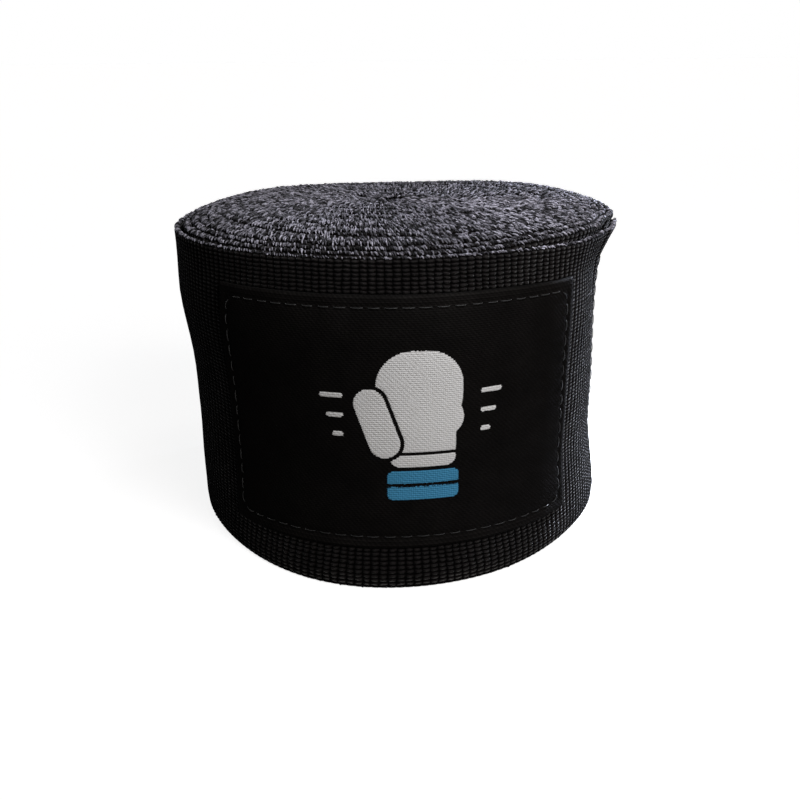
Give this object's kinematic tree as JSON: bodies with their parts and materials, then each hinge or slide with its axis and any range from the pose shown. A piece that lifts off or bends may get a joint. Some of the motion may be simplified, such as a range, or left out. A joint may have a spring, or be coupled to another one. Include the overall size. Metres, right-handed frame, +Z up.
{
  "type": "hand wrap",
  "caption": "Woven elastic hand wrap rolled up on its edge, with a sewn label, a hook-and-loop fastening flap that peels open, and a thumb loop in its core.",
  "frame": {"origin": "middle of the rolled wrap's foot, on the surface it stands on", "axes": "+Z up along the roll's axis; the label faces -Y; the pull tab is on the +X side"},
  "size_m": [0.0738, 0.073, 0.053],
  "materials": {
    "strap_weave": "black ribbed semi-elastic cotton and polyester weave with grey looped selvedges",
    "label_weave": "smooth black damask weave with a woven pattern",
    "hook_tape": "black nylon hook tape",
    "loop_pile": "black brushed loop pile",
    "thumb_tape": "black plain woven cotton tape",
    "thread": "dark grey polyester sewing thread"
  },
  "bodies": {
    "roll": {"strap_roll": "strap_weave", "loop_patch": "loop_pile", "loop_patch_stitching": "thread", "thumb_loop": "thumb_tape", "thumb_loop_stitching": "thread"},
    "flap_inner": {"strap_flap_inner": "strap_weave", "label_inner_half": "label_weave", "hook_tape_inner": "hook_tape", "label_stitching_inner": "thread"},
    "flap_outer": {"strap_flap_outer": "strap_weave", "label_outer_half": "label_weave", "hook_tape_outer": "hook_tape", "label_stitching_outer": "thread"},
    "pull_tab": {"strap_pull_tab": "strap_weave", "tab_hem": "strap_weave", "tab_hem_stitching": "thread"}
  },
  "joints": [
    {"name": "flap_peel", "type": "hinge", "parent": "roll", "child": "flap_inner", "pos_m": [-0.03342, -0.01636, 0.025], "axis": [0, 0, -1], "range_deg": [0, 100]},
    {"name": "flap_curl", "type": "hinge", "parent": "flap_inner", "child": "flap_outer", "pos_m": [0.00002, -0.03645, 0.025], "axis": [0, 0, -1], "range_deg": [0, 60]},
    {"name": "tab_lift", "type": "hinge", "parent": "flap_outer", "child": "pull_tab", "pos_m": [0.03406, -0.01518, 0.025], "axis": [0, 0, -1], "range_deg": [0, 75]}
  ]
}
